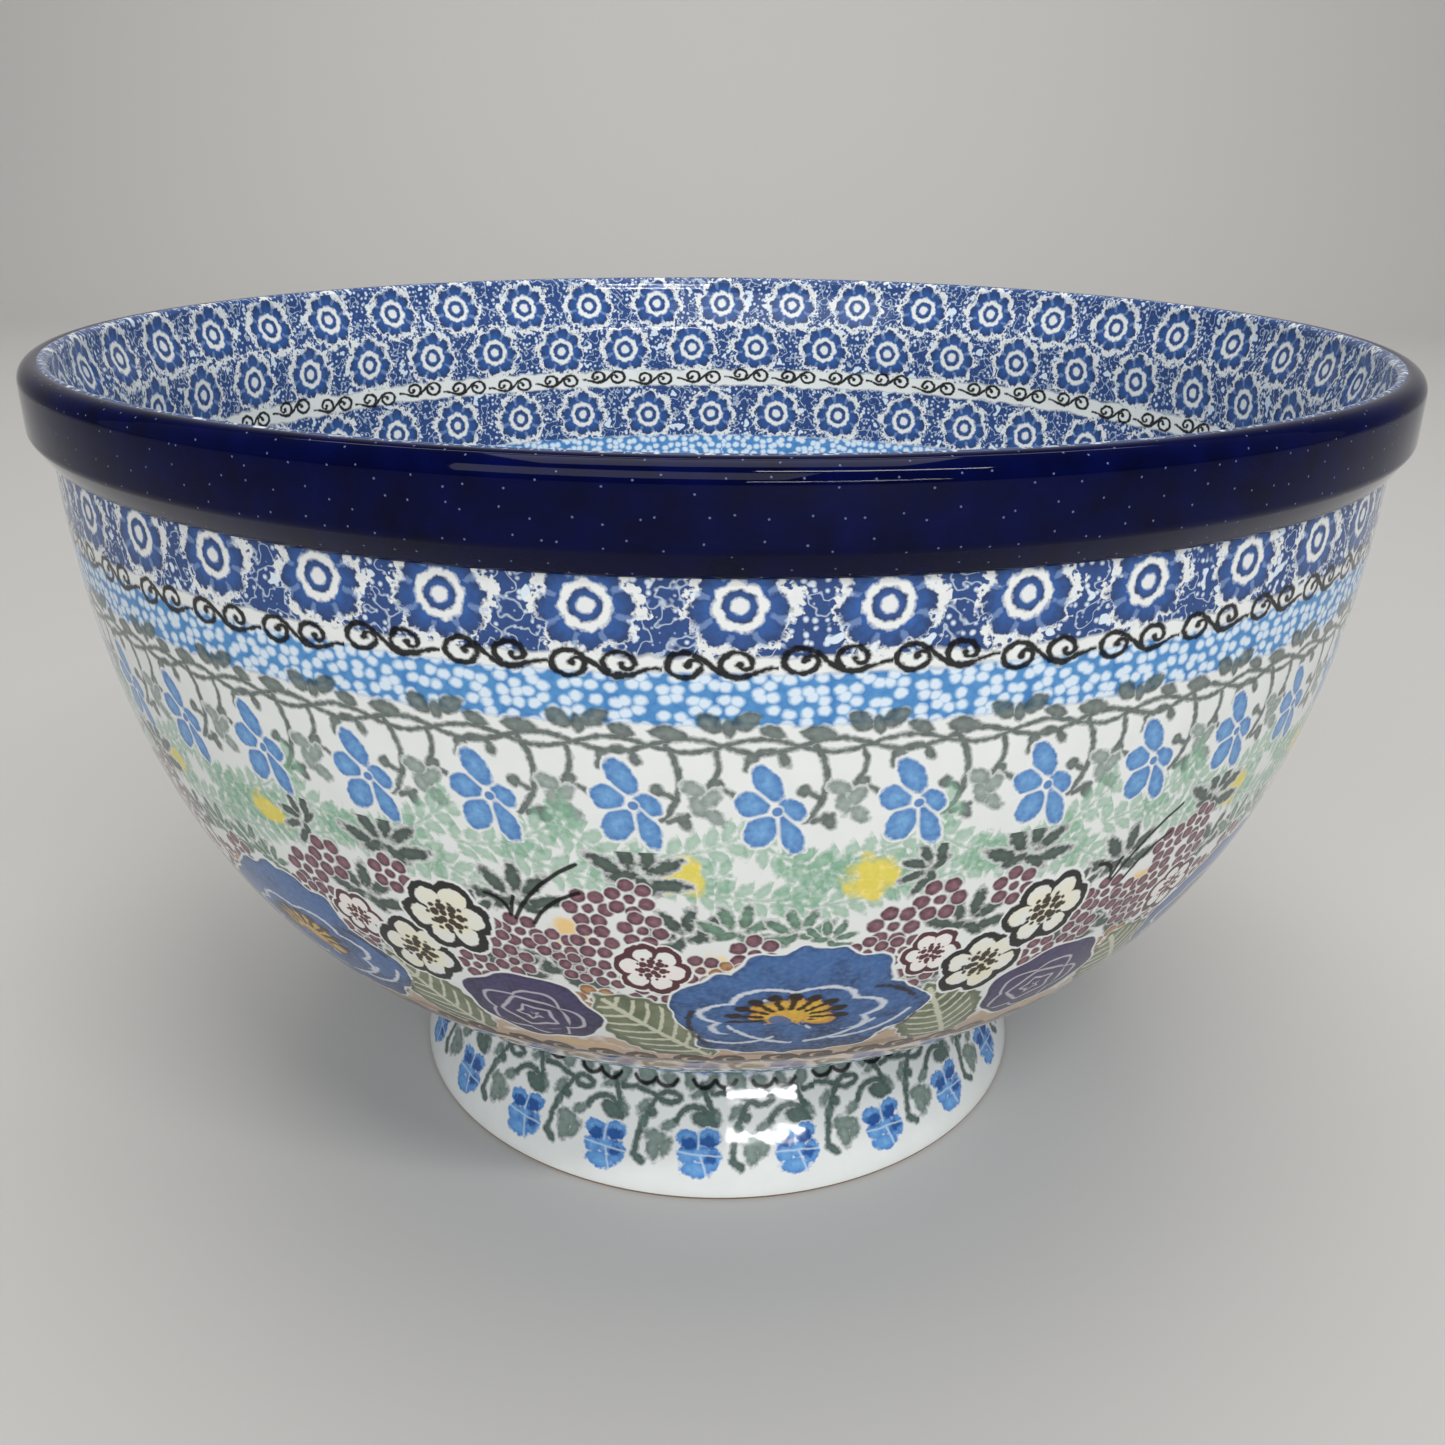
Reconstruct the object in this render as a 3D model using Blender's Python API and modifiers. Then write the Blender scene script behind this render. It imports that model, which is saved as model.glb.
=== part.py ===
# A footed stoneware punch bowl, built from the pieces a potter joins while the clay is still damp:
# the thrown bowl shell, the rim collar wrapped around its lip, the pedestal foot it stands on and
# the ring of luting slip that joins bowl and foot.
#
# Frame: the origin is on the ground at the middle of the foot, +Z is up and is the turning axis.
# All lengths are in metres. Every piece is a turned solid: a half section spun about Z.

import bpy
import math

# ---- driving dimensions -------------------------------------------------------------------------

RIM_RADIUS = 0.155            # outside of the rim collar
TOTAL_HEIGHT = 0.1926         # from the ground to the top of the rolled lip
SEAM_GAP = 0.0003             # air left between two pieces that touch

WALL_RADIUS = RIM_RADIUS * 0.9735    # outside of the wall where it runs up into the collar
WALL_TOP_THICKNESS = 0.0057
WALL_BASE_THICKNESS = 0.0076
FLOOR_HEIGHT = 0.0396         # the drinking floor inside the bowl

FOOT_RADIUS = 0.0835          # outside of the foot where it stands
FOOT_THICKNESS = 0.0068
FOOT_HEIGHT = 0.0315
FOOT_TOP_RADIUS = 0.0700
FOOT_LIP_HEIGHT = 0.0042      # the short upright edge at the bottom of the foot
SLIP_THICKNESS = 0.0014

COLLAR_HEIGHT = TOTAL_HEIGHT - 0.1745
COLLAR_PROUD = RIM_RADIUS - WALL_RADIUS

SEGMENTS = 72                 # facets around the turning axis

SLIP_BOTTOM = FOOT_HEIGHT + SEAM_GAP
SLIP_TOP = SLIP_BOTTOM + SLIP_THICKNESS
SHELL_BASE = SLIP_TOP + SEAM_GAP
SHELL_BASE_RADIUS = 0.0680
COLLAR_BOTTOM = TOTAL_HEIGHT - COLLAR_HEIGHT
COLLAR_ROLL = 0.0036          # radius of the roll along the collar's upper outer edge
LIP_ROLL = 0.0018             # radius of the roll along the inside of the lip


# ---- curves -------------------------------------------------------------------------------------

def bezier_point(controls, t):
    """Point at t on the cubic curve with these four control points."""
    a, b, c, d = controls
    s = 1.0 - t
    weights = (s * s * s, 3 * s * s * t, 3 * s * t * t, t * t * t)
    r = sum(w * p[0] for w, p in zip(weights, (a, b, c, d)))
    z = sum(w * p[1] for w, p in zip(weights, (a, b, c, d)))
    return (r, z)


def bezier_normal(controls, t):
    """Unit normal at t, pointing to the inside of the bowl."""
    before = bezier_point(controls, max(0.0, t - 0.001))
    after = bezier_point(controls, min(1.0, t + 0.001))
    dr = after[0] - before[0]
    dz = after[1] - before[1]
    length = math.hypot(dr, dz)
    return (-dz / length, dr / length)


def wall_curve():
    """The outside of the bowl wall, from the edge of its flat base up to the collar."""
    start = (SHELL_BASE_RADIUS, SHELL_BASE)
    belly_low = (SHELL_BASE_RADIUS + 0.0498, SHELL_BASE + 0.0155)
    belly_high = (WALL_RADIUS - 0.0009, COLLAR_BOTTOM - 0.0809)
    end = (WALL_RADIUS, COLLAR_BOTTOM)
    return (start, belly_low, belly_high, end)


def arc(centre_r, centre_z, radius, start_deg, end_deg, steps):
    """Points on an arc in the section, angles measured from +X towards +Z."""
    points = []
    for i in range(steps + 1):
        angle = math.radians(start_deg + (end_deg - start_deg) * i / steps)
        points.append((centre_r + radius * math.cos(angle), centre_z + radius * math.sin(angle)))
    return points


# ---- half sections ------------------------------------------------------------------------------

def shell_section():
    """Open section from the middle of the floor up the inside, over the lip and down the outside."""
    controls = wall_curve()
    count = 13
    steps = [i / (count - 1) for i in range(count)]
    outside = [bezier_point(controls, t) for t in steps]
    inside = []
    for t in steps[1:]:
        r, z = bezier_point(controls, t)
        nr, nz = bezier_normal(controls, t)
        thickness = WALL_BASE_THICKNESS + (WALL_TOP_THICKNESS - WALL_BASE_THICKNESS) * t
        inside.append((r + nr * thickness, z + nz * thickness))
    floor_edge = SHELL_BASE_RADIUS - 0.0120
    section = [(0.0, FLOOR_HEIGHT), (floor_edge * 0.5, FLOOR_HEIGHT), (floor_edge, FLOOR_HEIGHT)]
    section += [p for p in inside if p[1] > FLOOR_HEIGHT + 0.0012]
    lip_inner = WALL_RADIUS - 0.0023
    section += [(lip_inner - 0.0012, TOTAL_HEIGHT - 0.0090), (lip_inner - 0.0001, TOTAL_HEIGHT - 0.0042)]
    section += arc(lip_inner + LIP_ROLL, TOTAL_HEIGHT - LIP_ROLL, LIP_ROLL, 180.0, 90.0, 3)
    section += [(WALL_RADIUS, TOTAL_HEIGHT - SEAM_GAP)]
    section += [p for p in reversed(outside)]
    section += [(SHELL_BASE_RADIUS * 0.5, SHELL_BASE), (0.0, SHELL_BASE)]
    return section


def collar_section():
    """Closed section of the rim collar: a strap around the wall, rolled over at its upper edge."""
    bore = WALL_RADIUS + SEAM_GAP
    low = COLLAR_BOTTOM + COLLAR_PROUD + 0.0012
    section = arc(RIM_RADIUS - COLLAR_ROLL, TOTAL_HEIGHT - COLLAR_ROLL, COLLAR_ROLL, 90.0, 0.0, 5)
    section += [(RIM_RADIUS, low), (RIM_RADIUS - 0.0006, low - 0.0014)]
    section += [(bore + 0.0006, COLLAR_BOTTOM), (bore, COLLAR_BOTTOM + 0.0002)]
    section += [(bore, TOTAL_HEIGHT - 2 * SEAM_GAP)]
    return section


def foot_section():
    """Closed section of the pedestal foot: an upright edge, then a cone that narrows upwards."""
    edge = 0.0008
    top = FOOT_HEIGHT
    waist = FOOT_TOP_RADIUS + 0.0026
    outer = [(FOOT_TOP_RADIUS, top)]
    outer += [(waist - 0.0012, top - 0.0042), (waist + 0.0014, top - 0.0100)]
    outer += [(FOOT_RADIUS - 0.0046, FOOT_LIP_HEIGHT + 0.0062)]
    outer += [(FOOT_RADIUS - 0.0008, FOOT_LIP_HEIGHT), (FOOT_RADIUS, FOOT_LIP_HEIGHT - 0.0012)]
    outer += [(FOOT_RADIUS, edge), (FOOT_RADIUS - edge, 0.0)]
    ring_inner = FOOT_RADIUS - FOOT_THICKNESS
    outer += [(ring_inner + edge, 0.0), (ring_inner, edge)]
    outer += [(ring_inner - 0.0044, FOOT_LIP_HEIGHT + 0.0062)]
    outer += [(FOOT_TOP_RADIUS - FOOT_THICKNESS, top - 0.0030), (FOOT_TOP_RADIUS - FOOT_THICKNESS, top)]
    return outer


def slip_section():
    """Closed section of the luting slip: a thin washer with a smoothed bead at its outer edge."""
    outer_edge = FOOT_TOP_RADIUS + 0.0004
    inner_edge = FOOT_TOP_RADIUS - FOOT_THICKNESS - 0.0006
    middle = (SLIP_TOP + SLIP_BOTTOM) / 2
    points = [(outer_edge - 0.0022, SLIP_TOP), (outer_edge, middle)]
    points += [(outer_edge - 0.0006, SLIP_BOTTOM), (inner_edge + 0.0004, SLIP_BOTTOM)]
    points += [(inner_edge, middle), (inner_edge + 0.0004, SLIP_TOP)]
    return points


# ---- materials ----------------------------------------------------------------------------------

def glaze_material(name, color, roughness):
    """A plain fired surface: one colour and one roughness, no metal."""
    material = bpy.data.materials.new(name)
    material.use_nodes = True
    shader = material.node_tree.nodes["Principled BSDF"]
    shader.inputs["Base Color"].default_value = (color[0], color[1], color[2], 1.0)
    shader.inputs["Roughness"].default_value = roughness
    shader.inputs["Metallic"].default_value = 0.0
    material.diffuse_color = (color[0], color[1], color[2], 1.0)
    return material


# ---- objects ------------------------------------------------------------------------------------

def turned_piece(name, section, closed, material, collection):
    """Spin a half section about Z into one smooth solid."""
    mesh = bpy.data.meshes.new(name)
    vertices = [(r, 0.0, z) for r, z in section]
    edges = [(i, i + 1) for i in range(len(section) - 1)]
    if closed:
        edges.append((len(section) - 1, 0))
    mesh.from_pydata(vertices, edges, [])
    mesh.materials.append(material)
    piece = bpy.data.objects.new(name, mesh)
    collection.objects.link(piece)
    screw = piece.modifiers.new("turn", "SCREW")
    screw.axis = "Z"
    screw.angle = 2 * math.pi
    screw.steps = SEGMENTS
    screw.render_steps = SEGMENTS
    screw.use_merge_vertices = True
    screw.merge_threshold = 0.00001
    screw.use_smooth_shade = True
    return piece


def make_bowl_shell(collection):
    material = glaze_material("white_tin_glaze", (0.62, 0.68, 0.74), 0.12)
    return turned_piece("bowl_shell", shell_section(), False, material, collection)


def make_rim_collar(collection):
    material = glaze_material("cobalt_glaze", (0.012, 0.020, 0.085), 0.10)
    return turned_piece("rim_collar", collar_section(), True, material, collection)


def make_pedestal_foot(collection):
    material = glaze_material("foot_glaze", (0.60, 0.66, 0.70), 0.14)
    return turned_piece("pedestal_foot", foot_section(), True, material, collection)


def make_luting_slip_ring(collection):
    material = glaze_material("fired_slip", (0.42, 0.36, 0.28), 0.60)
    return turned_piece("luting_slip_ring", slip_section(), True, material, collection)


def main():
    for item in list(bpy.data.objects):
        bpy.data.objects.remove(item, do_unlink=True)
    collection = bpy.data.collections.new("punch_bowl")
    bpy.context.scene.collection.children.link(collection)
    make_bowl_shell(collection)
    make_rim_collar(collection)
    make_pedestal_foot(collection)
    make_luting_slip_ring(collection)


main()
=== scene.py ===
# The looks of a footed stoneware punch bowl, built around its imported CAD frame.
#
# Five pieces stand for the four CAD nodes: the glazed outside and inside of the bowl, the cobalt rim,
# the foot and the cove of glazed slip between bowl and foot. All of them are turned about Z.
# The decoration is drawn by material nodes, in millimetres measured over each surface: x runs around
# the pot from the front, y runs down from the rim. Every flower, leaf and scroll is a generic motif.

import math

import bpy
from mathutils import Matrix, Vector


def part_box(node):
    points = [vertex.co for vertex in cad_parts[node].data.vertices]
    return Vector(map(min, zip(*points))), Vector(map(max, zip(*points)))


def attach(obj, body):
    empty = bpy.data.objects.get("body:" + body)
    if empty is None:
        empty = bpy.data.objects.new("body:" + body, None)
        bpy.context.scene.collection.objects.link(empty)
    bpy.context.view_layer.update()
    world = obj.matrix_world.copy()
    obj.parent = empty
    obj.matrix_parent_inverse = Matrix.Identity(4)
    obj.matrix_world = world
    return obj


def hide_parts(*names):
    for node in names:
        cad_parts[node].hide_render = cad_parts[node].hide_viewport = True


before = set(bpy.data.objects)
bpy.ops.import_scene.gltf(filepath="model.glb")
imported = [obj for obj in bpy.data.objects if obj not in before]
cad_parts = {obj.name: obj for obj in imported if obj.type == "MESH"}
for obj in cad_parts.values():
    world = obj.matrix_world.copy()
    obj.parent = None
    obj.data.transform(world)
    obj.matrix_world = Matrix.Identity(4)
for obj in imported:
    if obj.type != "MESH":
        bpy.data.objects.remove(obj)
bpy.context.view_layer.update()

# ---- driving dimensions, from the frame ----

SHELL_LOW, SHELL_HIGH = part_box("bowl_shell")
COLLAR_LOW, COLLAR_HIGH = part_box("rim_collar")
_, FOOT_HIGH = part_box("pedestal_foot")
_, SLIP_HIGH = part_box("luting_slip_ring")

RIM_RADIUS = COLLAR_HIGH[0]
TOP = COLLAR_HIGH[2]
WALL_RADIUS = SHELL_HIGH[0]
COLLAR_BOTTOM = COLLAR_LOW[2]
SHELL_BASE = SHELL_LOW[2]
FOOT_RADIUS = FOOT_HIGH[0]
FOOT_TOP = FOOT_HIGH[2]

SHELL_BASE_RADIUS = 0.0680
WALL_TOP_THICKNESS = 0.0057
WALL_BASE_THICKNESS = 0.0076
FLOOR_HEIGHT = 0.0396
FOOT_TOP_RADIUS = SLIP_HIGH[0] - 0.0004
FOOT_THICKNESS = 0.0068
FOOT_LIP_HEIGHT = 0.0042
SKIN_DEPTH = 0.0028                # from the outside to the hidden face where the two skins meet
SEGMENTS = 256
SHARP_ANGLE = 40.0                 # degrees; edges bent more than this stay sharp
AXIS = 1e-7                        # a section point nearer to the axis than this lies on it

MM = 0.001
OUTSIDE_DRAWING_RADIUS = 150.0     # mm; drawings on the outside are laid out around this radius
INSIDE_DRAWING_RADIUS = 145.0
FOOT_DRAWING_RADIUS = 80.0
VINE_PITCH = 2 * math.pi * OUTSIDE_DRAWING_RADIUS / 40

# ---- colours of the stamped inks and glazes, linear ----

BODY_WHITE = (0.740, 0.760, 0.740)
COBALT = (0.0002, 0.0008, 0.0150)
PEACOCK_DEEP = (0.0015, 0.026, 0.120)
PEACOCK_BLUE = (0.010, 0.095, 0.360)
PEACOCK_GROUND = (0.005, 0.050, 0.215)
PEACOCK_SLIT = (0.24, 0.36, 0.62)
FLECK_WHITE = (0.68, 0.77, 0.84)
# tiny pale specks scattered over the cobalt rim
PALE_SPECK = (0.14, 0.17, 0.30)
FOOT_STEM = (0.06, 0.12, 0.10)
FOOT_STEM_DEEP = (0.012, 0.040, 0.034)
FOOT_LEAF = (0.20, 0.28, 0.24)
FOOT_LEAF_DEEP = (0.065, 0.110, 0.095)
PANSY_BLUE = (0.150, 0.380, 0.680)
PANSY_EDGE = (0.050, 0.190, 0.500)
PANSY_DEEP = (0.010, 0.055, 0.240)
PANSY_LINE = (0.52, 0.62, 0.74)
# painted reflection of a brown wooden table, laid as a band at the foot of the garden
TABLE_REFLECTION_BROWN = (0.46, 0.28, 0.15)
SKY_BLUE = (0.115, 0.345, 0.620)
SKY_DEEP = (0.032, 0.160, 0.430)
VIOLET_BLUE = (0.150, 0.370, 0.650)
VIOLET_DEEP = (0.040, 0.165, 0.430)
BLACK_INK = (0.002, 0.002, 0.003)
VINE_GREEN = (0.150, 0.195, 0.175)
VINE_DARK = (0.036, 0.055, 0.052)
MINT = (0.350, 0.560, 0.420)
MINT_DEEP = (0.170, 0.350, 0.230)
YELLOW = (0.820, 0.640, 0.060)
DARK_GREEN = (0.014, 0.028, 0.028)
LEAF_GREEN = (0.060, 0.115, 0.080)
PLUM = (0.075, 0.018, 0.034)
PLUM_PALE = (0.260, 0.120, 0.150)
OCHRE = (0.520, 0.240, 0.055)
SAGE = (0.190, 0.215, 0.120)
SAGE_DEEP = (0.095, 0.120, 0.062)
VEIN = (0.640, 0.640, 0.500)
POPPY_BLUE = (0.055, 0.130, 0.320)
POPPY_DEEP = (0.022, 0.042, 0.110)
POPPY_PALE = (0.120, 0.210, 0.400)
POPPY_LINE = (0.640, 0.680, 0.740)
STAMEN_YELLOW = (0.720, 0.460, 0.050)
STAMEN_BROWN = (0.026, 0.014, 0.006)
ROSE_VIOLET = (0.055, 0.045, 0.115)
ROSE_DEEP = (0.026, 0.020, 0.045)
ROSE_PALE = (0.100, 0.085, 0.170)
ROSE_LINE = (0.540, 0.510, 0.570)
CREAM = (0.780, 0.720, 0.480)
MAROON = (0.075, 0.014, 0.022)
SCROLL_BROWN = (0.050, 0.023, 0.009)
BARE_CLAY = (0.300, 0.190, 0.110)


# ---- node arithmetic ----

def add_node(tree, kind, inputs, **settings):
    """Add a shader node after everything that feeds it, so that few results wait at any one time.

    Inputs go by name or number; each is a Value, a Spot, an output, a number or a tuple."""
    given = {slot: getattr(term, "socket", term) for slot, term in inputs.items()}
    node = tree.nodes.new("ShaderNode" + kind)
    for name, setting in settings.items():
        setattr(node, name, setting)
    for slot, term in given.items():
        if isinstance(term, bpy.types.NodeSocket):
            tree.links.new(term, node.inputs[slot])
        elif node.inputs[slot].type == "RGBA":
            node.inputs[slot].default_value = (*term, 1.0)
        else:
            node.inputs[slot].default_value = term
    return node


def calculate(tree, operation, *terms):
    return Value(tree, add_node(tree, "Math", dict(enumerate(terms)), operation=operation).outputs[0])


def arithmetic(operation):
    """A method of Value that applies this operation to the value and the terms it is given."""

    def method(self, *terms):
        return calculate(self.tree, operation, self, *terms)

    return method


class Value:
    """A number that varies over the surface: the output of a node, with arithmetic."""

    def __init__(self, tree, socket):
        self.tree = tree
        self.socket = socket

    def __rsub__(self, other):
        return calculate(self.tree, "SUBTRACT", other, self)

    __add__ = arithmetic("ADD")
    __sub__ = arithmetic("SUBTRACT")
    __mul__ = arithmetic("MULTIPLY")
    times_plus = arithmetic("MULTIPLY_ADD")
    fraction = arithmetic("FRACT")
    floor = arithmetic("FLOOR")
    absolute = arithmetic("ABSOLUTE")
    cosine = arithmetic("COSINE")
    sine = arithmetic("SINE")
    at_least = arithmetic("MAXIMUM")
    at_most = arithmetic("MINIMUM")

    def clipped(self, factor, added):
        """factor * self + added, kept between 0 and 1."""
        whole = self.times_plus(factor, added)
        return Value(self.tree, add_node(self.tree, "Clamp", {"Value": whole}).outputs["Result"])

    def wrapped(self, period):
        """The value brought into the range of half a period either side of zero."""
        return calculate(self.tree, "WRAP", self, period / 2, -period / 2)

    def smooth_step(self, start, end):
        inputs = {"From Min": start, "From Max": end, "Value": self}
        settings = {"interpolation_type": "SMOOTHSTEP", "clamp": False}
        return Value(self.tree, add_node(self.tree, "MapRange", inputs, **settings).outputs["Result"])


class Spot:
    """A place on the drawing: x and y in millimetres, from the middle of the motif being drawn.

    It starts as a vector or as two Values, and makes the other form when it is first asked for."""

    def __init__(self, tree, vector=None, x=None, y=None):
        self.tree = tree
        self.vector = vector
        self.across = x
        self.down = y

    @property
    def x(self):
        if self.across is None:
            self.across = self.measured_along(1.0, 0.0)
        return self.across

    @property
    def y(self):
        if self.down is None:
            self.down = self.measured_along(0.0, 1.0)
        return self.down

    @property
    def socket(self):
        if self.vector is None:
            self.vector = add_node(self.tree, "CombineXYZ", {0: self.across, 1: self.down}).outputs[0]
        return self.vector

    def vector_math(self, operation, *others):
        return add_node(self.tree, "VectorMath", dict(enumerate((self, *others))), operation=operation)

    def measured_along(self, across, down):
        return Value(self.tree, self.vector_math("DOT_PRODUCT", (across, down, 0.0)).outputs["Value"])

    def moved(self, shift):
        return Spot(self.tree, self.vector_math("ADD", shift).outputs["Vector"])

    def length(self):
        return Value(self.tree, self.vector_math("LENGTH").outputs["Value"])

    def seen_from(self, x, y, turn=0.0, wide=1.0, tall=1.0):
        """The same place in the frame of a motif at x, y, turned clockwise by degrees and scaled."""
        place = self if x == 0.0 and y == 0.0 else self.moved((-x, -y, 0.0))
        if turn == 0.0 and wide == 1.0 and tall == 1.0:
            return place
        c = math.cos(math.radians(turn))
        s = math.sin(math.radians(turn))
        across = place.measured_along(c / wide, s / wide)
        return spot_from(across, place.measured_along(-s / tall, c / tall))

    def scaled(self, wide, tall):
        return self.seen_from(0.0, 0.0, 0.0, wide, tall)

    def angle(self):
        """The angle around the motif, in turns from -0.5 to 0.5."""
        return calculate(self.tree, "ARCTAN2", self.y, self.x) * (0.5 / math.pi)


def spot_from(x, y):
    """A Spot from two Values, or from a Value and a plain number."""
    return Spot(x.tree if isinstance(x, Value) else y.tree, None, x, y)


# ---- drawings ----

class Drawing:
    """Inks laid one over another in one node tree, with the noises that make them uneven."""

    def __init__(self, tree, color, spot, wash, mottle):
        self.tree = tree
        self.color = color
        self.spot = spot
        self.wash = wash
        self.mottle = mottle

    def mixed(self, first, second, factor):
        """Mix two colours; each is an RGB triple or a colour output."""
        inputs = {0: factor, 6: first, 7: second}
        return add_node(self.tree, "Mix", inputs, data_type="RGBA").outputs[2]

    def rough(self, amount):
        """Fine unevenness of about this many millimetres, for the edges of shapes."""
        return self.mottle.times_plus(2 * amount, -amount)

    def waver(self, amount):
        """The same, but changing slowly over the pot."""
        return self.wash.times_plus(2 * amount, -amount)

    def lay(self, ink, depth, strength=1.0, soft=0.16):
        """Lay an ink wherever depth, in millimetres inside the shape's edge, is above zero."""
        cover = depth.times_plus(0.5 / soft, 0.5)
        if isinstance(strength, Value) or strength != 1.0:
            cover = cover.at_most(strength)
        self.color = self.mixed(self.color, ink, cover)

    def stamp(self, pale, deep, depth, pool=0.9, soft=0.16, strength=0.96):
        """Lay an ink that pools darker at the edge of its shape and is blotchy inside."""
        pooled = depth.times_plus(-0.65 / pool, 0.65).at_least(0.0)
        tone = calculate(self.tree, "MULTIPLY_ADD", self.mottle, 1.6, pooled - 0.5)
        self.lay(self.mixed(pale, deep, tone), depth, strength, soft)

    def reserve(self, depth, grow=0.5):
        """Leave the white body bare inside a shape and a little around it."""
        self.lay(BODY_WHITE, depth + grow)

    def use(self, group, spot, **settings):
        """Draw a motif at a spot, with other inks where some are given."""
        inputs = {"Colour": self.color, "Spot": spot, "Wash": self.wash, "Mottle": self.mottle}
        self.color = add_node(self.tree, "Group", {**inputs, **settings}, node_tree=group).outputs["Colour"]


def motif(**inks):
    """Turn a drawing function into a node group, which is built once and used many times.

    It draws on a Drawing, at a Spot. The inks are those that may be changed at each use."""

    def build(draw):
        group = bpy.data.node_groups.new(draw.__name__, "ShaderNodeTree")
        kinds = {"Colour": "Color", "Spot": "Vector", "Wash": "Float", "Mottle": "Float"}
        for name, kind in {**kinds, **dict.fromkeys(inks, "Color")}.items():
            socket = group.interface.new_socket(name, in_out="INPUT", socket_type="NodeSocket" + kind)
            if name in inks:
                socket.default_value = (*inks[name], 1.0)
        group.interface.new_socket("Colour", in_out="OUTPUT", socket_type="NodeSocketColor")
        given = group.nodes.new("NodeGroupInput")
        wash = Value(group, given.outputs["Wash"])
        mottle = Value(group, given.outputs["Mottle"])
        drawing = Drawing(group, given.outputs["Colour"], Spot(group, given.outputs["Spot"]), wash, mottle)
        draw(drawing, drawing.spot, **{name: given.outputs[name] for name in inks})
        result = group.nodes.new("NodeGroupOutput")
        group.links.new(drawing.color, result.inputs["Colour"])
        return group

    return build


class Sheet(Drawing):
    """The drawing on one material: it knows where it is on the pot."""

    # Noise scales; the bigger the number, the finer the noise.
    WOBBLE_SCALE = 380.0
    MOTTLE_SCALE = 900.0
    WASH_SCALE = 160.0
    TANGLE_SCALE = 290.0

    def __init__(self, material, radius, wobble=0.24):
        self.material = material
        self.tree = material.node_tree
        self.around = 2 * math.pi * radius
        surface = add_node(self.tree, "UVMap", {}, uv_map="surface").outputs["UV"]
        inputs = {0: surface, 1: (self.around, 1.0 / MM, 0.0)}
        scaled = add_node(self.tree, "VectorMath", inputs, operation="MULTIPLY")
        self.position = add_node(self.tree, "TexCoord", {}).outputs["Object"]
        plain = Spot(self.tree, scaled.outputs["Vector"])
        shift = self.nudge(self.noise(self.WOBBLE_SCALE, 1.0, "Color"), wobble, wobble)
        spot = plain.moved(shift)
        mottle = Value(self.tree, self.noise(self.MOTTLE_SCALE, 2.0, "Fac"))
        wash = Value(self.tree, self.noise(self.WASH_SCALE, 2.0, "Fac"))
        super().__init__(self.tree, None, spot, wash, mottle)
        shaded = tuple(part * 0.95 for part in BODY_WHITE)
        self.color = self.mixed(BODY_WHITE, shaded, wash.clipped(2.0, -0.5))

    def noise(self, scale, detail, output):
        inputs = {"Scale": scale, "Detail": detail, "Vector": self.position}
        return add_node(self.tree, "TexNoise", inputs).outputs[output]

    @property
    def tangle(self):
        """Smooth noise with features a few millimetres apart."""
        return Value(self.tree, self.noise(self.TANGLE_SCALE, 1.5, "Fac"))

    def cells(self, spot):
        """The distance from the nearest of many scattered points, one unit of the spot apart."""
        inputs = {"Scale": 1.0, "Randomness": 0.72, "Vector": spot}
        node = add_node(self.tree, "TexVoronoi", inputs, voronoi_dimensions="2D")
        return Value(self.tree, node.outputs["Distance"])

    def nudge(self, random, across, down):
        """Turn random numbers from 0 to 1 into a shift of at most across and down."""
        inputs = {0: random, 1: (2 * across, 2 * down, 0.0), 2: (-across, -down, 0.0)}
        node = add_node(self.tree, "VectorMath", inputs, operation="MULTIPLY_ADD")
        return Value(self.tree, node.outputs["Vector"])

    def random(self, value, seed):
        """Three random numbers from 0 to 1 that depend on a whole number."""
        inputs = {"W": value + (0.37 + seed)}
        return add_node(self.tree, "TexWhiteNoise", inputs, noise_dimensions="1D").outputs["Color"]

    def repeated(self, count, start, y, sway=0.0, rise=0.0, seed=0):
        """A Spot around each of count stamps set evenly around the pot, each a little out of place."""
        pitch = self.around / count
        steps = self.spot.x.times_plus(1.0 / pitch, 0.5 - start / pitch)
        index = calculate(self.tree, "FLOORED_MODULO", steps.floor(), float(count))
        local = spot_from((steps.fraction() - 0.5) * pitch, self.spot.y - y)
        jolt = self.nudge(self.random(index, seed), sway, rise)
        return local.moved(jolt)


# ---- shapes: each gives the depth in millimetres inside its edge ----

def ellipse(spot, x, y, turn, wide, tall):
    """An ellipse with these half sizes."""
    local = spot.seen_from(x, y, turn, wide, tall)
    size = min(wide, tall)
    return local.length().times_plus(-size, size)


def disc(spot, x, y, radius):
    return radius - spot.seen_from(x, y).length()


def pointed_leaf(spot, x, y, turn, half_length, half_width):
    """A leaf with a point at both ends: the overlap of two discs."""
    local = spot.seen_from(x, y, turn)
    radius = (half_length * half_length + half_width * half_width) / (2 * half_width)
    away = spot_from(local.x, local.y.absolute() + (radius - half_width))
    return radius - away.length()


def stroke(spot, x, y, turn, half_length, half_width):
    """A straight stroke with round ends."""
    local = spot.seen_from(x, y, turn)
    past = local.x - local.x.at_least(-half_length).at_most(half_length)
    return half_width - spot_from(past, local.y).length()


def arc_stroke(spot, x, y, radius, turn, spread, half_width):
    """Part of a ring: the arc whose middle lies at turn degrees, spread degrees to either side."""
    local = spot.seen_from(x, y, turn)
    side = spot_from(local.x, local.y.absolute())
    angle = math.radians(spread)
    body = half_width - (side.length() - radius).absolute()
    sector = side.x * math.sin(angle) - side.y * math.cos(angle)
    end = half_width - side.seen_from(radius * math.cos(angle), radius * math.sin(angle)).length()
    return body.at_most(sector).at_least(end)


def folded(spot, count, phase=0.0):
    """The place seen from one of count equal sectors around the spot's middle."""
    part = spot.angle().times_plus(float(count), 0.5 + phase).fraction() - 0.5
    turn = part * (2 * math.pi / count)
    reach = spot.length()
    return spot_from(reach * turn.cosine(), reach * turn.sine())


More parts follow.
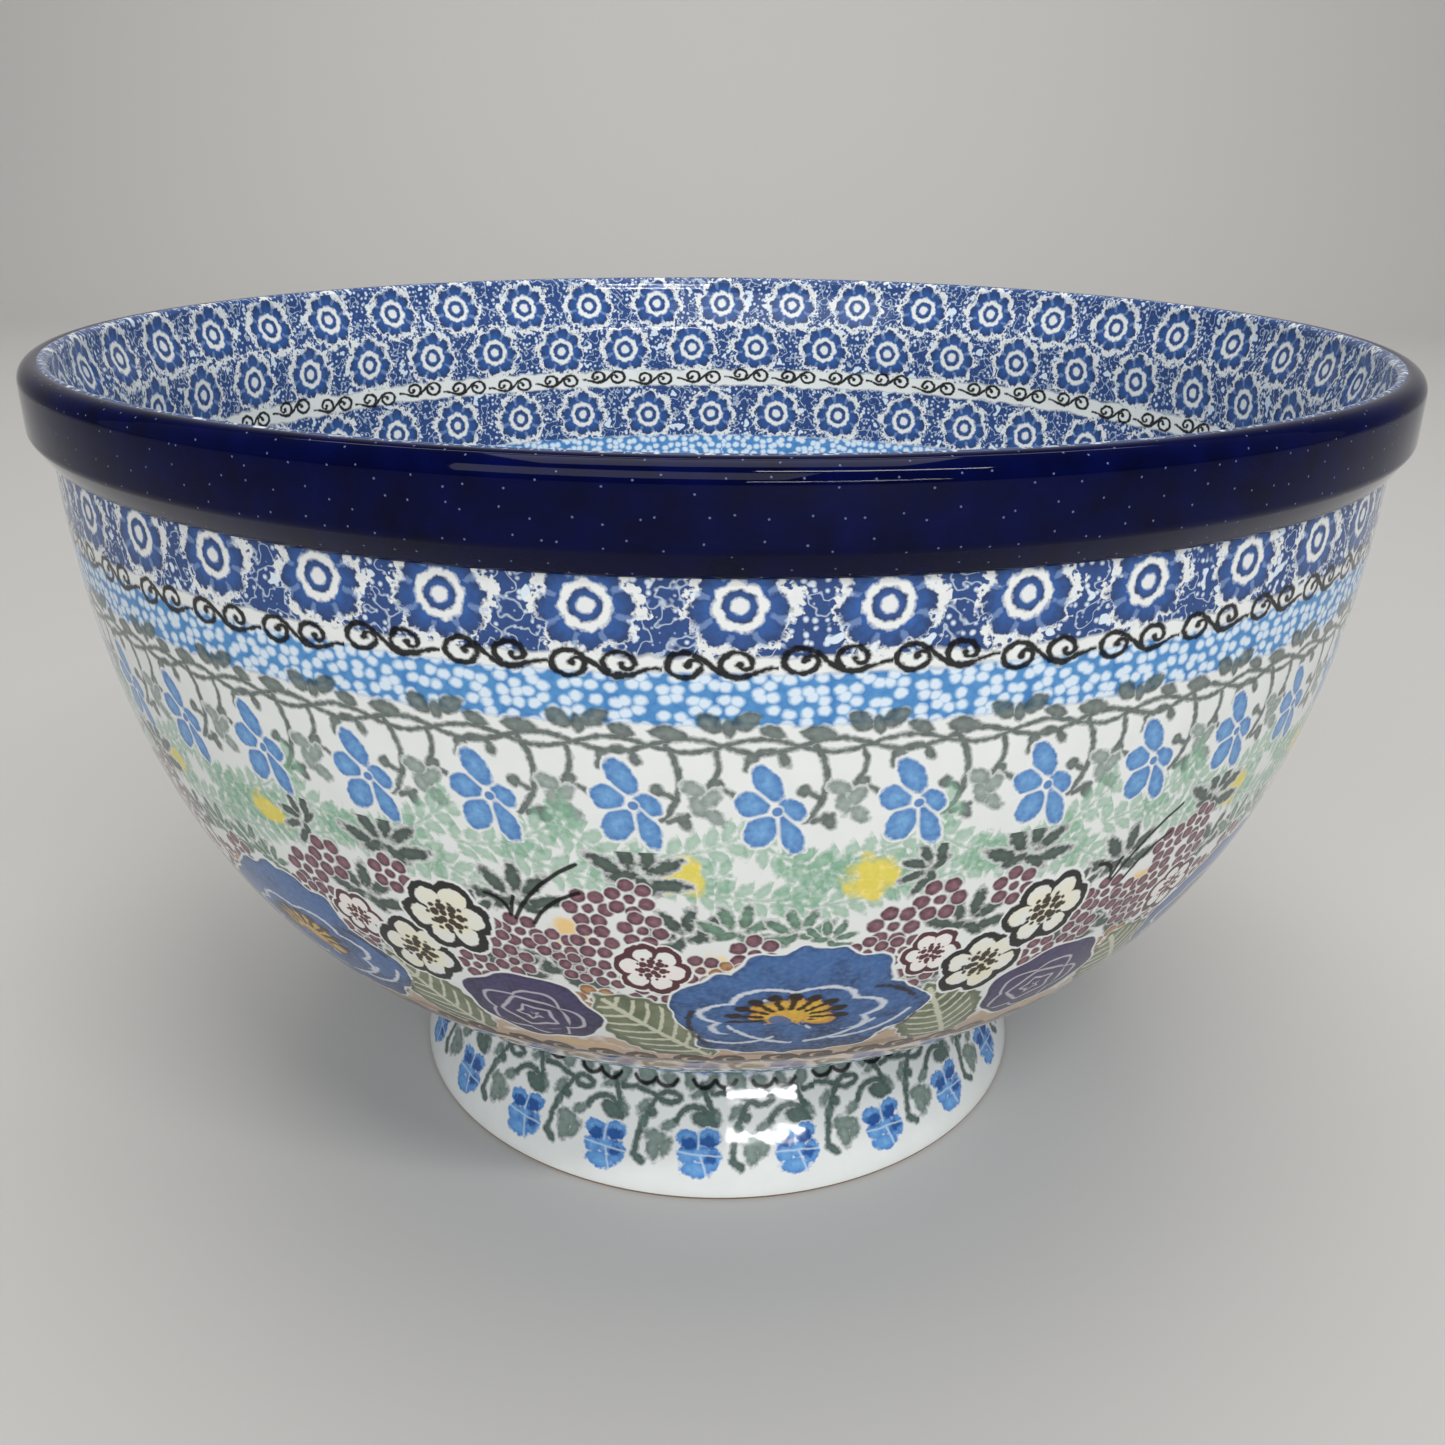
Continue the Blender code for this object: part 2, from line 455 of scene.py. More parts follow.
def round_petals(spot, count, reach, radius, phase=0.0):
    """Round petals set in a ring, joined in the middle."""
    return disc(folded(spot, count, phase), reach, 0.0, radius)


def each(shape, spot, *places):
    """One shape made at several places, which are given by the shape's own numbers."""
    return [shape(spot, *place) for place in places]


def unite(*shapes):
    result = shapes[0]
    for shape in shapes[1:]:
        result = result.at_least(shape)
    return result


def united(shape, spot, *places):
    return unite(*each(shape, spot, *places))


# ---- motifs of the blue bands ----

def draw_peacock_ground(sheet, top, bottom):
    """Deep blue leafy marks with white flecks and crooked gaps, between two heights."""
    inside = (sheet.spot.y - top).at_most(bottom - sheet.spot.y) + sheet.waver(1.5)
    sheet.stamp(PEACOCK_GROUND, PEACOCK_DEEP, inside, pool=0.7, soft=0.4)
    tangle = sheet.tangle
    lines = (tangle - 0.46).absolute().times_plus(-9, 0.06).at_least(tangle.times_plus(14, -9.3))
    flecks = sheet.cells(sheet.spot.scaled(1.9, 1.9)).times_plus(-1.9, -0.46)
    gaps = lines.at_least(flecks + tangle * 1.4)
    sheet.lay(FLECK_WHITE, gaps.at_most(inside), 0.92, soft=0.22)


def draw_peacock(drawing, spot, size, variation, halo):
    """A round blue flower: an eye in a white ring, frilly dark petals, pale crescents outside."""
    reach = spot.length()
    turn = spot.angle() * (2 * math.pi)
    lobe = (turn * 4 + 0.4).cosine().absolute()
    frill = drawing.rough(2.5)
    petals = lobe.times_plus(1.3, size) + (turn * 3).sine() * 0.4 + frill * 0.6 - reach
    crescent = (turn * 1.5 + 0.5).cosine().absolute().times_plus(variation, halo)
    drawing.lay(BODY_WHITE, petals + crescent + frill * 0.7, 0.95, soft=0.3)
    drawing.stamp(PEACOCK_BLUE, PEACOCK_DEEP, petals, pool=3, soft=0.3)
    slit = (0.22 - lobe * 1.3).at_most(reach - 4.8).at_most(petals + 0.4) + frill * 0.25
    drawing.lay(PEACOCK_SLIT, slit, 0.5, soft=0.35)
    drawing.lay(BODY_WHITE, (lobe * 0.35 + 3.85) - reach + frill * 0.3, soft=0.3)
    drawing.stamp(PEACOCK_BLUE, PEACOCK_DEEP, 2.75 - reach + frill * 0.25, pool=1.4, soft=0.25)
    drawing.lay(BODY_WHITE, 1.35 - reach + frill * 0.2, 0.95, soft=0.25)


@motif()
def peacock_outside(drawing, spot):
    draw_peacock(drawing, spot, 6.3, 1.8, 0.2)


@motif()
def peacock_inside(drawing, spot):
    draw_peacock(drawing, spot, 6.2, 0.9, 0.8)


def draw_spiral_pair(drawing, middle, ink, weight):
    """A stamped pair of spirals joined by one running line with a thin tail."""
    spot = middle.moved((5.5, 0, 0))
    first = spot.scaled(1.24, 1)
    second = spot.seen_from(7.8, -0.2, 0, 1.22, 1)
    drop = spot.x.smooth_step(0.6, 7.2).times_plus(3.7, -1.85)
    line = drop - spot.x.smooth_step(8, 13.6) * 1.35
    width = spot.x.smooth_step(7, 14).times_plus(-0.22, 0.5)
    running = width - (spot.y - line).absolute() * 0.82
    running = running.at_most(spot.x - 1).at_most(14.4 - spot.x)
    shapes = unite(
        running,
        *each(arc_stroke, first,
            (0, 0, 2.1, 155, 135, 0.46), (1.22, 0.05, 0.88, -80, 95, 0.4),
        ),
        disc(first, 0.45, -0.05, 0.58),
        *each(arc_stroke, second,
            (0, 0, 1.95, -115, 115, 0.46), (1.12, 0, 0.83, 80, 95, 0.4),
        ),
        disc(second, 0.35, 0.05, 0.55),
    )
    drawing.lay(ink, shapes + drawing.mottle.times_plus(0.8, weight - 0.4), 0.97, soft=0.18)


@motif(ink=BLACK_INK)
def running_spirals(drawing, spot, ink):
    draw_spiral_pair(drawing, spot, ink, 0)


@motif(ink=SCROLL_BROWN)
def bold_spirals(drawing, spot, ink):
    draw_spiral_pair(drawing, spot, ink, 0.35)


def draw_dotted_band(sheet, top, bottom):
    """A light blue stamped band with uneven white pebble dots; the stamps overlap a little."""
    inside = (sheet.spot.y - top).at_most(bottom - sheet.spot.y) + sheet.waver(0.8)
    sheet.stamp(SKY_BLUE, SKY_DEEP, inside, pool=0.8, soft=0.3)
    joints = 0.7 - sheet.spot.x.wrapped(sheet.around / 57).absolute()
    sheet.lay(SKY_DEEP, joints.at_most(inside), 0.4, soft=0.7)
    pebbles = sheet.cells(sheet.spot.scaled(2.5, 2.1))
    sheet.lay(SKY_DEEP, pebbles.times_plus(2.2, -1.35).at_most(inside), 0.45, soft=0.6)
    dots = pebbles.times_plus(-2.2, 0.86) + sheet.rough(0.4)
    sheet.lay(FLECK_WHITE, dots.at_most(inside), 0.92, soft=0.32)


# ---- motifs of the vine band ----

@motif()
def vine_stamp(drawing, spot):
    """One length of running vine: two stems that cross, leaf tips above and round-ended tendrils."""
    sway = (spot.x.times_plus(2 * math.pi / VINE_PITCH, 1.4)).cosine()
    stems = unite(
        0.52 - (spot.y - sway.times_plus(-1.3, -0.9)).absolute(),
        0.48 - (spot.y - sway.times_plus(1.2, -1)).absolute(),
        *each(arc_stroke, spot, (7.6, 3.2, 3.4, -110, 72, 0.55), (-17.4, 5.6, 11, 4, 40, 0.6)),
        stroke(spot, -8.6, 8, 30, 1.5, 0.55),
        arc_stroke(spot, -6, 2.4, 5.8, 6, 36, 0.52),
        stroke(spot, -6.6, 12.8, -20, 1.6, 0.6),
        arc_stroke(spot, -1.2, 12, 5.2, -62, 40, 0.5),
    )
    ends = unite(
        *each(disc, spot, (5, 1.2, 1.25), (-0.6, 6, 1.25), (-10, 7.3, 1.2)),
        *each(ellipse, spot, (-5.6, 13.4, 62, 1.9, 1.1), (10.2, 1.6, 60, 1.4, 0.9)),
    )
    tips = united(pointed_leaf, spot,
        (-1.6, -5, 34, 2.5, 1.6), (4, -5.3, -24, 2.7, 1.6), (1.4, -4.2, 80, 1.8, 1.2),
        (-8, -3, 8, 3.2, 1.5), (8.2, -3.4, 20, 2.4, 1.2),
    )
    marks = unite(stems, ends, tips) + drawing.rough(0.4)
    drawing.stamp(VINE_GREEN, VINE_DARK, marks, pool=1.6, soft=0.34, strength=0.88)
    leaves = united(ellipse, spot,
        (-4.2, 7, 24, 2.2, 1.4), (-1.4, 8.8, 130, 2.2, 1.4), (-3.4, 10.2, 70, 2.3, 1.3),
        (-0.6, 12.4, 40, 2.2, 1.3),
    ) + drawing.rough(0.6)
    drawing.reserve(leaves, 0.3)
    drawing.stamp((0.34, 0.41, 0.37), VINE_GREEN, leaves, pool=1.5, soft=0.4, strength=0.88)


@motif()
def violet(drawing, spot):
    """A light blue five-petalled violet, tilted, with thin white gaps between the petals."""
    petals = united(ellipse, spot,
        (-1.8, -5, 58, 3.8, 2.1), (-4.2, -1, 24, 2.9, 2.5), (-2.7, 4.3, 112, 3.4, 2.7),
        (2.3, 5.2, 68, 4.2, 1.9), (2.4, 0.2, 40, 2.6, 1.9),
    ) + drawing.rough(0.4)
    drawing.reserve(petals, 0.4)
    drawing.stamp(VIOLET_BLUE, VIOLET_DEEP, petals, pool=2, soft=0.25, strength=0.94)
    gaps = unite(
        disc(spot, -0.2, 0.3, 1.15),
        *each(stroke, spot,
            (-2.6, -2.6, 42, 3.2, 0.24), (-3.6, 1.4, -12, 3.6, 0.24), (0.3, 4.4, 84, 4.2, 0.26),
            (2.8, 2.6, 44, 3.4, 0.22),
        ),
    )
    drawing.lay(BODY_WHITE, gaps, 0.85, soft=0.25)
    drawing.lay(VIOLET_DEEP, disc(spot, -0.1, 0.4, 0.85), 0.9)


@motif(pale=MINT, deep=MINT_DEEP)
def sprig(drawing, spot, pale, deep):
    """A sprig 24 mm long: pairs of small soft leaves along a bent stem."""
    bent = spot_from(spot.x, spot.y + spot.x * spot.x * 0.018)
    side = spot_from((bent.x * (1 / 3.2)).fraction() * 3.2, bent.y.absolute())
    leaves = unite(ellipse(side, 1.8, 2.1, 46, 2.3, 1.05), 0.3 - bent.y.absolute())
    leaves = leaves.at_most(12 - spot.x.absolute()) + drawing.mottle.times_plus(1.8, -1)
    drawing.stamp(pale, deep, leaves, 1.3, 0.6, 0.66)


SECTORS = 8                 # how often the garden repeats around the pot
STAMP_STRETCH = 1.01        # how much taller than wide the garden's stamps come out


def in_sector(sheet, x, y):
    """A Spot around a place that repeats once in every sector of the garden."""
    pitch = sheet.around / SECTORS
    return spot_from((sheet.spot.x - x).wrapped(pitch), sheet.spot.y - y)


def draw_mint_sprigs(sheet, start):
    """Pale green sprigs between the violets and the garden."""
    places = (
        (-52, 47.5, -24), (-36, 50, 28), (-20, 47.5, -20), (-3, 51.5, 26),
        (13, 47, -30), (28, 51, 20), (45, 48.5, -28), (-12, 58.5, 6),
        (5, 59.5, -12), (52, 56.5, 30), (-28, 54.5, 4), (4, 53, 8),
        (20, 56, -8), (38, 55.5, 14), (-44, 54, 14),
    )
    for x, y, turn in places:
        sheet.use(sprig, in_sector(sheet, start + x, y).seen_from(0, 0, turn, 1, STAMP_STRETCH))


# ---- motifs of the garden band ----

@motif()
def poppy(drawing, spot):
    """The big blue flower: wavy petals with pale edges around a yellow heart with dark stamens."""
    outline = united(ellipse, spot,
        (1, -11, 4, 16.5, 8.6), (-17.5, -1.5, -70, 11.5, 9.5), (15.5, 2, 20, 12, 10),
        (-9, 10.5, 8, 15, 9), (8, 11.5, -8, 14, 8),
    )
    turn = spot.angle() * (2 * math.pi)
    frill = (turn * 15).cosine()
    outline = outline + frill * 0.45 + (turn * 8 + 1).sine() * 0.45 + drawing.waver(1.5)
    drawing.reserve(outline, 0.5)
    low = spot.y.times_plus(0.028, 0.22) + drawing.waver(1.7)
    petal = drawing.mixed(POPPY_BLUE, POPPY_DEEP, low)
    petal = drawing.mixed(petal, POPPY_DEEP, outline.times_plus(-0.42, 0.6))
    petal = drawing.mixed(petal, POPPY_PALE, drawing.mottle.times_plus(1.6, -0.62))
    drawing.lay(petal, outline)
    cup = spot.seen_from(-2, 2, 0, 1.9, 1)
    wave = (cup.angle() * (2 * math.pi * 3.5) + 0.8).cosine().absolute()
    rim_line = 0.42 - (cup.length() - wave.times_plus(1.9, 8.6)).absolute()
    rim_line = rim_line.at_most(9 - spot.y)
    lines = unite(
        rim_line,
        *each(arc_stroke, spot,
            (-1, -10, 24, 62, 20, 0.46), (3, -9, 23.5, 121, 21, 0.46),
            (-14, -2, 15.5, 88, 32, 0.42), (9.5, -3.5, 16.5, 60, 34, 0.42),
            (-4, 12, 8, -75, 40, 0.36),
        ),
    ) + drawing.rough(0.4)
    drawing.lay(POPPY_LINE, lines.at_most(outline - 0.8), 0.92, soft=0.24)
    edges = united(arc_stroke, spot,
        (-10, 4, 14, 168, 30, 0.6), (14, 6, 12.5, -62, 24, 0.5),
        (14, 2, 13.6, 40, 22, 0.5),
    ) + drawing.rough(1)
    drawing.lay(STAMEN_BROWN, edges.at_most(outline + 0.8), 0.85, soft=0.35)
    heart = ellipse(spot, -2.4, 0.2, 0, 9, 4.6) + frill * 0.4
    heart = heart.at_least(ellipse(spot, 3.4, 3, 20, 4.4, 2.6))
    drawing.lay(POPPY_DEEP, heart + 0.7, 0.7, soft=0.5)
    drawing.stamp(STAMEN_YELLOW, OCHRE, heart, pool=1.2)
    drawing.lay(POPPY_BLUE, ellipse(spot, -4.4, 3.6, 30, 2.8, 1.8), 0.9)
    fan = folded(spot.seen_from(-3, 2.6, 0, 1.5, 1), 17)
    threads = stroke(fan, 5.6, 0, 0, 2, 0.46).at_least(ellipse(fan, 7.7, 0, 0, 1.3, 1))
    threads = threads.at_most(4 - spot.y) + drawing.rough(0.5)
    drawing.lay(STAMEN_BROWN, threads, 0.96, soft=0.2)


@motif()
def rose(drawing, spot):
    """The slate-violet rose: a wavy disc of petals with thin pale lines coiling to the heart."""
    oval = spot.scaled(1.24, 1)
    turn = oval.angle() * (2 * math.pi)
    reach = oval.length()
    outline = (turn * 7).cosine().times_plus(0.5, 12.4) + (turn * 4).sine() * 0.5 - reach
    drawing.reserve(outline, 0.6)
    low = spot.y.times_plus(0.04, 0.36) + drawing.waver(1.2)
    petal = drawing.mixed(ROSE_VIOLET, ROSE_DEEP, low)
    petal = drawing.mixed(petal, ROSE_DEEP, outline.times_plus(-0.42, 0.6))
    drawing.lay(drawing.mixed(petal, ROSE_PALE, drawing.mottle.times_plus(1.4, -0.5)), outline)
    heart = spot.seen_from(-0.5, 2.2, 0, 1.15, 0.92)
    depth = heart.length()
    around = heart.angle()
    wave = (around * (2 * math.pi * 2.5)).cosine().absolute()
    coil = (depth + wave * 1.2) * (1 / 3.3) - around
    line = 0.38 - (coil.fraction() - 0.5).absolute() * 3.3
    line = line.at_most(7.4 - depth).at_most(outline - 0.7)
    ripple = (around * (2 * math.pi * 9)).cosine() * 0.25
    outer = 0.34 - (depth + ripple - wave.times_plus(2.6, 7.8)).absolute()
    drawing.lay(ROSE_LINE, line.at_least(outer.at_most(outline - 0.9)), 0.85, soft=0.22)


@motif()
def sage_leaf(drawing, spot):
    """A broad grey-green leaf 34 mm long with a cream midrib and curved side veins."""
    outline = pointed_leaf(spot, 0, 0, 0, 17, 10) + (spot.x * 1.7).sine() * 0.35
    drawing.reserve(outline, 0.5)
    shade = drawing.mixed(SAGE, SAGE_DEEP, drawing.wash.clipped(3, -1))
    drawing.lay(shade, outline, 0.95)
    drawing.lay(SAGE_DEEP, outline.at_most(1.1 - outline), 0.5, soft=0.5)
    across = spot.y.absolute()
    bend = across * across * 0.05 + across * 0.45
    midrib = 0.62 - across
    veins = 0.48 - ((spot.x + bend).times_plus(1 / 4, 0.5).fraction() - 0.5).absolute() * 4
    veins = veins.at_most(7.6 - across)
    lines = midrib.at_least(veins) + drawing.rough(0.5)
    drawing.lay(VEIN, lines.at_most(outline - 1), 0.86, soft=0.25)


@motif(edge=BLACK_INK, heart=STAMEN_BROWN, fill=CREAM)
def daisy(drawing, spot, edge, heart, fill):
    """A six-petalled flower 19 mm wide: a heavy outline, pale petals and a dark clustered heart."""
    reach = spot.length()
    petals = round_petals(spot, 6, 5.3, 3.9).at_least(5.6 - reach) + drawing.waver(1.5)
    drawing.reserve(petals, 1.1)
    warm = (reach.times_plus(-0.1, 1) + drawing.waver(1.5)) * 0.75
    drawing.lay(drawing.mixed(BODY_WHITE, fill, warm), petals)
    rough = drawing.rough(1)
    drawing.lay(edge, 0.84 - (petals - 0.4).absolute() + rough * 0.4, 0.97)
    pollen = unite(
        round_petals(spot, 7, 2.7, 1),
        round_petals(spot, 4, 1.3, 0.85, 0.3),
        round_petals(spot, 11, 3.9, 0.5),
    )
    drawing.lay(heart, pollen + rough * 0.5, 0.96)


@motif(pale=PLUM_PALE, deep=PLUM)
def berries(drawing, spot, pale, deep):
    """Six round berries around a small one, 9 mm wide."""
    shape = round_petals(spot, 6, 3.3, 1.58).at_least(1.15 - spot.length()) + drawing.rough(0.25)
    drawing.reserve(shape, 0.25)
    drawing.stamp(pale, deep, shape, pool=1.3, soft=0.22)


@motif(pale=LEAF_GREEN, deep=DARK_GREEN)
def leaf_tuft(drawing, spot, pale, deep):
    """A tuft of small dark leaves fanning out from one place, 13 mm wide."""
    leaves = united(ellipse, spot,
        (0.3, -3.2, 84, 2.7, 1.15), (-2.7, -2.2, 52, 2.8, 1.15), (3, -2, -46, 2.6, 1.1),
        (-4.4, 0.6, 14, 2.9, 1.1), (4.4, 0.8, -18, 3.1, 1.15), (-1.8, 1.6, -30, 2.2, 1),
        (1.8, 1.9, 28, 2.2, 1),
    ) + drawing.rough(0.6)
    drawing.reserve(leaves, 0.3)
    drawing.stamp(pale, deep, leaves, pool=1.3, soft=0.35, strength=0.93)


@motif()
def grass(drawing, spot):
    """Two long curved black grass strokes and two short ones."""
    strokes = unite(
        *each(arc_stroke, spot,
            (27.1, 17.9, 31.1, -137.9, 18, 0.42), (17.6, 13.2, 17, -132.8, 21.9, 0.42),
            (-6.6, 4.4, 4.4, -45, 45, 0.42),
        ),
        stroke(spot, -1.6, 2.2, 105, 2.4, 0.42),
    )
    drawing.lay(BLACK_INK, strokes, 0.95, soft=0.16)


@motif(ink=YELLOW)
def blot(drawing, spot, ink):
    """A soft watery blot of colour, 8 mm wide."""
    shape = (3.6 - spot.length()) + drawing.waver(6)
    drawing.lay(ink, shape, 0.78, soft=1.1)


# The four brown blots about 112 mm down are painted reflection of a brown wooden table, deepening the brown
# band there; the other blots are yellow and orange ink.
BLOTS = (
    (-24, 54, 1.2, 0.95, YELLOW), (9.5, 53.5, 1.1, 1, YELLOW),
    (-16.5, 76.5, 1.3, 1, (0.86, 0.62, 0.28)),
    (-44.5, 71, 1.1, 1, (0.8, 0.5, 0.12)), (-50, 112, 2, 0.9, (0.62, 0.42, 0.2)),
    (22, 113, 2.2, 0.8, (0.32, 0.22, 0.14)), (-12, 112.5, 2.4, 0.7, (0.36, 0.22, 0.14)),
    (50, 112.5, 2, 0.8, (0.5, 0.32, 0.16)),
)
TUFTS = (
    (-54.7, 60.5, 0, 1.3), (-31.5, 52.5, 20, 1.3), (-24.5, 67.5, -35, 1.2), (-47.5, 79.5, 30, 1.25),
    (29.5, 67.5, 10, 1.3), (27, 85, -20, 1.2), (19, 53.5, -70, 0.9), (38.5, 53, 8, 1.3),
    (58, 79, 25, 1.2), (52.5, 66, -30, 0.9), (-37, 91, 40, 0.9),
)
PALE_TUFTS = ((-14, 66, 15, 1.1), (-3.5, 66.5, -18, 1), (3, 68.5, 30, 0.8))
BERRIES = (
    (-41.1, 61.8, 0, 1), (-33.4, 58.8, 20, 0.95), (-31.5, 66.5, 10, 1), (-55.2, 69.8, 5, 1),
    (-48.6, 72.6, 25, 0.95), (-40.8, 70.3, 0, 1), (-44.7, 78.5, 15, 0.9), (-58.4, 79, 30, 1),
    (-38.6, 79.6, 10, 0.9), (-31.1, 86.5, 0, 1), (-21, 77, 10, 0.95), (-11, 72, 25, 1.05),
    (22.7, 61.5, 0, 1.1), (37.5, 61, 20, 1), (14.6, 66.9, 10, 1.1), (17.8, 74, 0, 0.95),
    (21.5, 82, 15, 1), (50.4, 82.6, 0, 1), (10.6, 73.5, 30, 0.9), (55.5, 71, 12, 0.95),
)
OCHRE_BERRIES = ((-43, 88.8, 12, 1.1), (-15.4, 78.2, 12, 0.85))


def draw_garden(sheet, start):
    """Everything in the wide garden band; start is where the first poppy's middle is."""

    def at(x, y, turn=0, wide=1, tall=None):
        return in_sector(sheet, start + x, y).seen_from(0, 0, turn, wide, tall or wide * STAMP_STRETCH)

    for x, y, wide, tall, ink in BLOTS:
        sheet.use(blot, at(x, y, 0, wide, tall), ink=ink)
    for x, y, turn, size in TUFTS:
        sheet.use(leaf_tuft, at(x, y, turn, size))
    for x, y, turn, size in PALE_TUFTS:
        sheet.use(leaf_tuft, at(x, y, turn, size), pale=MINT_DEEP, deep=LEAF_GREEN)
    for x, y, turn, size in BERRIES:
        sheet.use(berries, at(x, y, turn, size))
    for x, y, turn, size in OCHRE_BERRIES:
        sheet.use(berries, at(x, y, turn, size), pale=(0.6, 0.34, 0.14), deep=(0.22, 0.09, 0.03))
    sheet.use(sage_leaf, at(-31, 100, 48, 1.05))
    sheet.use(sage_leaf, at(34, 101, 62, 0.98))
    sheet.use(rose, at(59, 96))
    sheet.use(poppy, at(0, 91))
    for x, y, turn, size in ((-30.4, 77, 10, 0.78), (24, 76, 0, 0.68)):
        sheet.use(daisy, at(x, y, turn, size), edge=MAROON, heart=MAROON, fill=(0.85, 0.74, 0.7))
    sheet.use(daisy, at(37, 82, 14))
    sheet.use(daisy, at(47.6, 69.5, -6))
    sheet.use(grass, at(-54, 61))


# ---- motifs of the foot ----

@motif()
def foot_vine(drawing, spot):
    """One length of the vine around the foot: a looped stem, a tendril and blotted leaves."""
    stems = unite(
        arc_stroke(spot, 14.6, 1.2, 24.9, -160.9, 18.6, 0.6),
        stroke(spot, -9.4, 1.8, 40, 1.3, 0.8),
        *each(arc_stroke, spot,
            (-2.6, -10.6, 4.1, -90, 44, 0.55), (-2.6, -16.2, 4.1, 90, 44, 0.6),
            (4.4, -6.4, 5, -84, 76, 0.65),
        ),
        *each(stroke, spot,
            (7.3, -13.6, 68, 3.6, 0.65), (-8.6, -14.2, 14, 3.2, 0.55), (10.3, -14.8, -7, 1.7, 0.55),
        ),
        disc(spot, -6.6, -9.2, 1.1),
        ellipse(spot, 6.6, -8.4, 20, 3.2, 1.8),
    ) + drawing.rough(0.5)
    drawing.stamp(FOOT_STEM, FOOT_STEM_DEEP, stems + 0.2, pool=0.9, soft=0.45, strength=0.92)
    leaves = united(ellipse, spot,
        (-9, -18.2, 60, 3.4, 2.5), (-5.2, -3.4, 16, 3.5, 1.9), (-5.8, -0.9, 84, 3.1, 1.8),
        (-2.8, -1.4, 120, 2.5, 1.4), (2.8, -17.6, 70, 2.6, 1.6), (-2.2, -6.8, 150, 2.4, 1.3),
        (9.6, -9.6, 60, 2.2, 1.2), (-8.8, -7, 100, 2, 1.2), (5, -14.8, -30, 2.2, 1.1),
        (-3, -17.8, 20, 2.6, 1.5), (8.6, -17.6, 110, 2.5, 1.6), (-9.2, -10.6, 130, 2.3, 1.3),
    ) + drawing.rough(0.7)
    drawing.stamp(FOOT_LEAF, FOOT_LEAF_DEEP, leaves, pool=1.6, soft=0.5, strength=0.88)


@motif()
def pansy(drawing, spot):
    """A blue flower of five round petals with dark blotches, on the foot."""
    petals = unite(
        *each(ellipse, spot,
            (-2.6, -3.4, 30, 3, 2.5), (2, -4, -30, 2.9, 2.5), (-2.9, 1, 80, 2.6, 2.1),
            (3, 1.6, 100, 3.3, 2), (-0.8, 4.6, 10, 3.5, 2.2),
        ),
        disc(spot, 0.2, 0.4, 2.4),
    ) + drawing.rough(0.8)
    drawing.reserve(petals, 0.3)
    drawing.stamp(PANSY_BLUE, PANSY_EDGE, petals, pool=1.4, soft=0.3)
    blotches = united(disc, spot, (-2.4, -2.4, 1.5), (2, -3, 1.5), (2.6, 1.4, 1.1))
    drawing.lay(PANSY_DEEP, blotches + drawing.mottle.times_plus(2, -0.7), 0.85, soft=0.6)
    gaps = stroke(spot, -0.2, -3.6, 92, 2.6, 0.2).at_least(stroke(spot, 0, 0.6, 4, 5, 0.18))
    drawing.lay(PANSY_LINE, gaps.at_least(stroke(spot, 0.9, 3.4, 76, 2.6, 0.18)), 0.85, soft=0.25)


@motif()
def scallops(drawing, spot):
    """Two joined black scallops."""
    side = spot_from(spot.x.absolute(), spot.y)
    curve = arc_stroke(side, 2.9, -2.4, 3.2, 90, 62, 0.55)
    drawing.lay(BLACK_INK, curve, 0.92, soft=0.25)


# ---- materials ----

GLAZE_ROUGHNESS = 0.035
GLAZE_IOR = 1.45
GLAZE_SHINE = 0.22          # below the even 0.5, because the studio around the pot is so pale
COBALT_SHINE = 0.13


def glazed(name, roughness=GLAZE_ROUGHNESS):
    """A new material with a clear glossy glaze; the drawing is linked to it afterwards."""
    material = bpy.data.materials.new(name)
    material.use_nodes = True
    shader = material.node_tree.nodes["Principled BSDF"]
    shader.inputs["Roughness"].default_value = roughness
    shader.inputs["IOR"].default_value = GLAZE_IOR
    shader.inputs["Specular IOR Level"].default_value = GLAZE_SHINE
    return material


def finish_glaze(sheet, ripple=0.05):
    """Link the drawing to the shader and give the glaze its faint ripple."""
    tree = sheet.tree
    shader = tree.nodes["Principled BSDF"]
    tree.links.new(sheet.color, shader.inputs["Base Color"])
    bump = add_node(tree, "Bump", {"Strength": ripple, "Distance": 0.4 * MM, "Height": sheet.wash})
    tree.links.new(bump.outputs["Normal"], shader.inputs["Normal"])
    return sheet.material


POPPY_START = 17.8          # mm around from the front to the first poppy
GARDEN_START = 48.0         # mm down the outside where each material takes over
GARDEN_END = 112.5
INSIDE_LOWER_START = 60.0
STANDING_RING_START = 33.6  # mm down the foot's section, where the glaze is wiped off
STANDING_RING_END = 42.6


def draw_peacocks(sheet, flower, y, count, start, seed):
    sheet.use(flower, sheet.repeated(count, start, y, 0.5, 0.4, seed))


def draw_spirals(sheet, pair, y, count, seed, size):
    spot = sheet.repeated(count, 0.0, y, 0.3, 0.9, seed).scaled(size, size)
    sheet.use(pair, spot)


def outside_upper_material():
    sheet = Sheet(glazed("glaze_outside_upper"), OUTSIDE_DRAWING_RADIUS)
    draw_peacock_ground(sheet, -3.0, 12.4)
    draw_peacocks(sheet, peacock_outside, 4.4, 42, 2.5, 11)
    draw_dotted_band(sheet, 15.2, 23.8)
    draw_spirals(sheet, running_spirals, 13.8, 54, 5, 1.0)
    sheet.use(vine_stamp, sheet.repeated(40, 0.0, 28.4, 0.0, 0.0, 7))
    draw_mint_sprigs(sheet, POPPY_START)
    sheet.use(violet, sheet.repeated(40, 9.0, 38.8, 0.9, 0.6, 9))
    return finish_glaze(sheet)


def draw_table_reflection(sheet):
    """Painted reflection of a brown wooden table: an uneven brown band at the foot of the garden, under the
    brown scroll.
    """
    reflection_band = sheet.spot.y.times_plus(0.55, -58.5) + sheet.tangle.times_plus(14.0, -7.0)
    sheet.lay(TABLE_REFLECTION_BROWN, reflection_band.at_most(sheet.spot.y.times_plus(-1.0, 126.0)), 0.8, soft=2.0)


